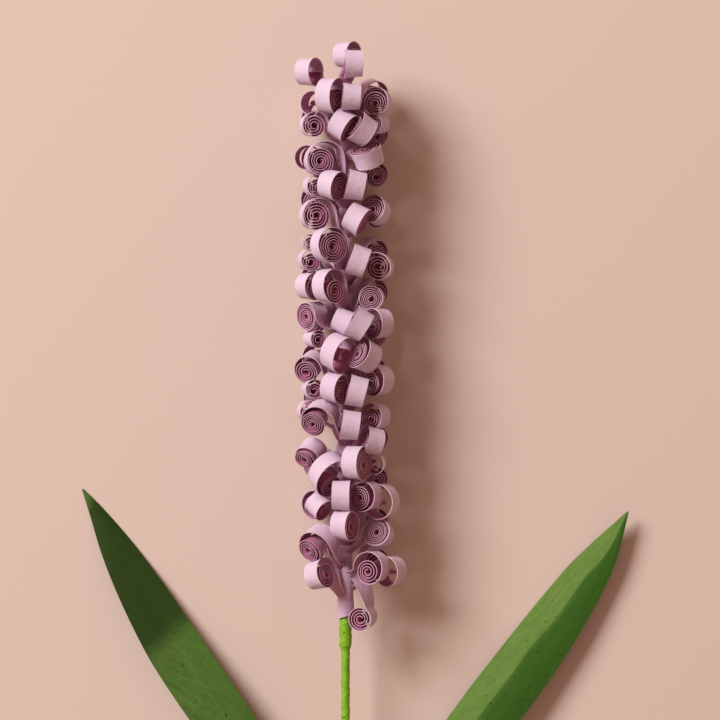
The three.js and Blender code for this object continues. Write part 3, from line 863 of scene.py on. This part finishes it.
def leafPiece(name, node, stations, material):
    sheets = SheetBuilder()
    steps = leafPaper["lengthSteps"]
    fine = []
    for index in range(len(stations) - 1):
        for step in range(steps + (index == len(stations) - 2)):
            t = step / steps
            fine.append({key: between(stations, index, t, key) for key in stations[0]})
    points = [Vector((s["side"], -s["down"], s["height"])) for s in fine]
    rows = []
    for index, station in enumerate(fine):
        along = (points[min(index + 1, len(points) - 1)] - points[max(index - 1, 0)]).normalized()
        level = Vector((0, 0, 1)).cross(along).normalized()
        upright = along.cross(level).normalized()
        row = []
        for column in range(-leafPaper["halfSteps"], leafPaper["halfSteps"] + 1):
            share = column / leafPaper["halfSteps"]
            half = "left" if share < 0 else "right"
            reach = max(station[half], leafPaper["leastHalf"]) * abs(share)
            full = min(1, station[half] / leafPaper["fullHalf"])
            slope = math.radians(station[half + "Slope"])
            wave = leafPaper["wave"] * noise.noise(Vector((points[index].y * 0.06, share * 2, 3)))
            bowl = leafPaper["bowl"] * station[half] * math.sin(math.pi * abs(share))
            uneven = noise.noise(Vector((points[index].y * 0.11, 5, stations[0]["side"])))
            aside = leafPaper["foldWander"] * uneven * (1 - abs(share)) * full
            middle = points[index] + level * (math.copysign(reach, share) + aside)
            middle += upright * (bowl + wave * share * share * full - reach * math.tan(slope))
            row.append((middle, middle - upright * leafPaper["thickness"]))
        rows.append(row)
    # the halves are marked 0 and 1 and the fold 0.5, for the painted shade of the half turned from the lamp
    across = leafPaper["halfSteps"]
    sheets.addGrid(rows, [0.0] * across + [0.5] + [1.0] * across)
    piece = sheets.build(name, material, crease=24)
    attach(piece, "root")
    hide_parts(node)
    print(name, len(piece.data.polygons), "faces")


# the dark leaf gets a band of painted shade near its tip, between two slanting lines
darkLeaf = {
    "fibreTurn": -62,
    "plain": (0.052, 0.112, 0.018),
    "speckled": (0.098, 0.188, 0.038),
    # the half turned from the lamp, in a colour of its own: painted shade and light
    "far": (0.058, 0.125, 0.020),
    "dark": (0.026, 0.056, 0.009),
    "shadeBandFrom": tipY - leafPaper["shadeBandSlant"] * stemX - 151 * mm,
    "shadeBandTo": tipY - leafPaper["shadeBandSlant"] * stemX - 76.5 * mm,
    "fromBlur": 5 * mm,
    "toBlur": 2.5 * mm,
}

lightLeaf = {
    "fibreTurn": 38,
    "plain": (0.088, 0.172, 0.028),
    "speckled": (0.138, 0.232, 0.052),
    # the half turned from the lamp, darker: painted shade
    "far": (0.044, 0.134, 0.016),
    "dark": (0.05, 0.10, 0.02),
}

leafPiece(
    "leaf_left_folded", "leaf_left",
    leftLeaf + leafFoot(-leafFeet["seat"]),
    leafMaterial("dark green paper", darkLeaf),
)
leafPiece(
    "leaf_right_folded", "leaf_right",
    rightLeaf + leafFoot(leafFeet["seat"] + leafFeet["thickness"]),
    leafMaterial("leaf green paper", lightLeaf),
)

# Floral tape wound down the wire

floralTape = {
    "colour": (0.27, 0.56, 0.018),
    "shade": (0.07, 0.22, 0.006),
    # the dark of the tape's creases, painted shade
    "crease": (0.03, 0.11, 0.004),
    "roughness": 0.5,
    "shine": 0.45,
    "shadeFrom": 0.35,
    "shadeTo": 0.65,
    "shadeStrength": 0.6,
    "foldScale": 190.0,
    "creaseCore": 0.003,
    "creaseReach": 0.022,
    "creaseStrength": 0.85,
    "inner": 1.3,
    "radius": 1.6,
    "collarRadius": 2.3,
    "collarLength": 13,
    "collarTaper": 3,
    "bareWire": 4,
    "bindingWall": 0.45,
    "wrapPitch": 6.5,
    "stepHeight": 0.16,
    "crumple": 0.13,
    "slantLength": 6,
    "sides": 32,
    "rowPitch": 0.5,
}


def tapeMaterial():
    material, tree, shader = newMaterial("lime floral tape", floralTape["roughness"], floralTape["shine"])
    grain = useGroup(tree, fibre, Cloud=1500.0, Tooth=4000.0, Relief=0.6)
    strength = floralTape["shadeStrength"]
    shade = rangeOf(
        tree, grain.outputs["Mask"], floralTape["shadeFrom"], floralTape["shadeTo"], toHigh=strength
    )
    colour = mixColour(tree, shade, floralTape["colour"], floralTape["shade"])
    # painted shade: dark creases where the stretched tape folds over itself
    place = addNode(tree, "ShaderNodeTexCoord").outputs["Object"]
    folds = noiseOf(tree, place, floralTape["foldScale"], 1.0, 1.2)
    offFold = mathOf(tree, "ABSOLUTE", mathOf(tree, "SUBTRACT", folds, 0.5))
    strength = floralTape["creaseStrength"]
    crease = rangeOf(tree, offFold, floralTape["creaseCore"], floralTape["creaseReach"], strength, 0.0)
    colour = mixColour(tree, crease, colour, floralTape["crease"])
    plug(tree, shader.inputs["Base Color"], colour)
    plug(tree, shader.inputs["Normal"], grain.outputs["Normal"])
    return material


lime = tapeMaterial()


def tapeSleeve(name, node, fromDown, toDown, inner, radiusAt, slant=0.0):
    sheets = SheetBuilder()
    steps = round((toDown - fromDown) / floralTape["rowPitch"])
    rows = []
    for step in range(steps + 1):
        down = lerp(fromDown, toDown, step / steps)
        row = []
        for side in range(floralTape["sides"]):
            angle = side / floralTape["sides"] * 2 * math.pi
            wound = (down / floralTape["wrapPitch"] + side / floralTape["sides"]) % 1
            around = Vector((math.sin(angle) * 1.2, down * 0.9, math.cos(angle) * 1.2 + down * 0.5))
            radius = radiusAt(down) - floralTape["stepHeight"] * wound
            radius += floralTape["crumple"] * noise.noise(around)
            tilt = slant * math.sin(angle) * (1 - smooth((down - fromDown) / floralTape["slantLength"]))
            outside = Vector((math.sin(angle) * radius, -down + tilt, math.cos(angle) * radius))
            inside = Vector((math.sin(angle) * inner, -down + tilt, math.cos(angle) * inner))
            row.append((outside, inside))
        rows.append(row)
    sheets.addGrid(rows, [0.0] * floralTape["sides"], closedAcross=True)
    piece = sheets.build(name, lime)
    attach(piece, "root")
    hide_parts(node)
    print(name, len(piece.data.polygons), "faces")


def stemRadius(down):
    taperFrom = head["bottom"] + floralTape["collarLength"] - floralTape["collarTaper"]
    thin = smooth((down - taperFrom) / floralTape["collarTaper"])
    return lerp(floralTape["collarRadius"], floralTape["radius"], thin)


wireEndDown = (tipY - wireLow.y) / mm
tapeSleeve(
    "floral_tape", "stem_tape", head["bottom"] + head["gap"], wireEndDown - floralTape["bareWire"],
    floralTape["inner"], stemRadius, head["slant"],
)
bindingLow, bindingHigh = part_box("leaf_binding_tape")
bindingRadius = (bindingHigh.x - bindingLow.x) / 2 / mm
tapeSleeve(
    "leaf_binding", "leaf_binding_tape", (tipY - bindingHigh.y) / mm, (tipY - bindingLow.y) / mm,
    bindingRadius - floralTape["bindingWall"], lambda down: bindingRadius,
)

# the bare wire keeps its solid and gets its metal
bareWire = {
    "colour": (0.5, 0.51, 0.5, 1.0),
    "roughness": 0.35,
    "shine": 0.5,
}

steel, _, steelShader = newMaterial("drawn steel wire", bareWire["roughness"], bareWire["shine"])
steelShader.inputs["Base Color"].default_value = bareWire["colour"]
steelShader.inputs["Metallic"].default_value = 1.0
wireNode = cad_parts["stem_wire"]
wireNode.data.materials.clear()
wireNode.data.materials.append(steel)
print("stem, tape and leaves made")

# Floor, light and camera

studio = {
    "floor": (0.70, 0.565, 0.49, 1.0),
    "floorReach": 3,
    "floorRoughness": 0.9,
    "floorShine": 0.1,
    "lampPower": 96.5,
    "lampAcross": 1.45,
    "lampAway": 3,
    "lampFrom": (-0.77, 0.63, 0.80),
    "bounce": (1.0, 0.59, 0.46, 1.0),
    "bounceStrength": 0.38,
    "cameraHeight": 1.2,
    "nearest": 0.01,
    "sensor": 36,
    "mmPerPixel": 0.36,
    "stemPixel": 345.5,
    "tipPixel": 43,
    "picture": 720,
}


def makeFloor():
    mesh = bpy.data.meshes.new("tabletop")
    reach = studio["floorReach"]
    corners = [(-reach, -reach, 0), (reach, -reach, 0), (reach, reach, 0), (-reach, reach, 0)]
    mesh.from_pydata(corners, [], [(0, 1, 2, 3)])
    material, _, shader = newMaterial("peach card", studio["floorRoughness"], studio["floorShine"])
    shader.inputs["Base Color"].default_value = studio["floor"]
    mesh.materials.append(material)
    floor = bpy.data.objects.new("tabletop", mesh)
    bpy.context.scene.collection.objects.link(floor)


def makeLight():
    softbox = bpy.data.lights.new("softbox", "AREA")
    softbox.shape = "DISK"
    softbox.size = studio["lampAcross"]
    softbox.energy = studio["lampPower"]
    lamp = bpy.data.objects.new("softbox", softbox)
    towards = Vector(studio["lampFrom"]).normalized()
    lamp.location = towards * studio["lampAway"]
    lamp.rotation_euler = towards.to_track_quat("Z", "Y").to_euler()
    bpy.context.scene.collection.objects.link(lamp)
    world = bpy.data.worlds.new("room")
    world.use_nodes = True
    background = world.node_tree.nodes["Background"]
    background.inputs["Color"].default_value = studio["bounce"]
    background.inputs["Strength"].default_value = studio["bounceStrength"]
    bpy.context.scene.world = world


def makeCamera():
    view = bpy.data.cameras.new("overhead")
    pixel = studio["mmPerPixel"] * mm
    half = studio["picture"] / 2
    view.sensor_width = studio["sensor"]
    view.lens = studio["sensor"] * studio["cameraHeight"] / (studio["picture"] * pixel)
    view.clip_start = studio["nearest"]
    camera = bpy.data.objects.new("overhead", view)
    camera.location = (
        stemX + (half - studio["stemPixel"]) * pixel,
        tipY - (half - studio["tipPixel"]) * pixel,
        stemZ + studio["cameraHeight"],
    )
    bpy.context.scene.collection.objects.link(camera)
    bpy.context.scene.camera = camera


makeFloor()
makeLight()
makeCamera()
bpy.context.scene.view_settings.view_transform = "Standard"
print("table, light and camera set")
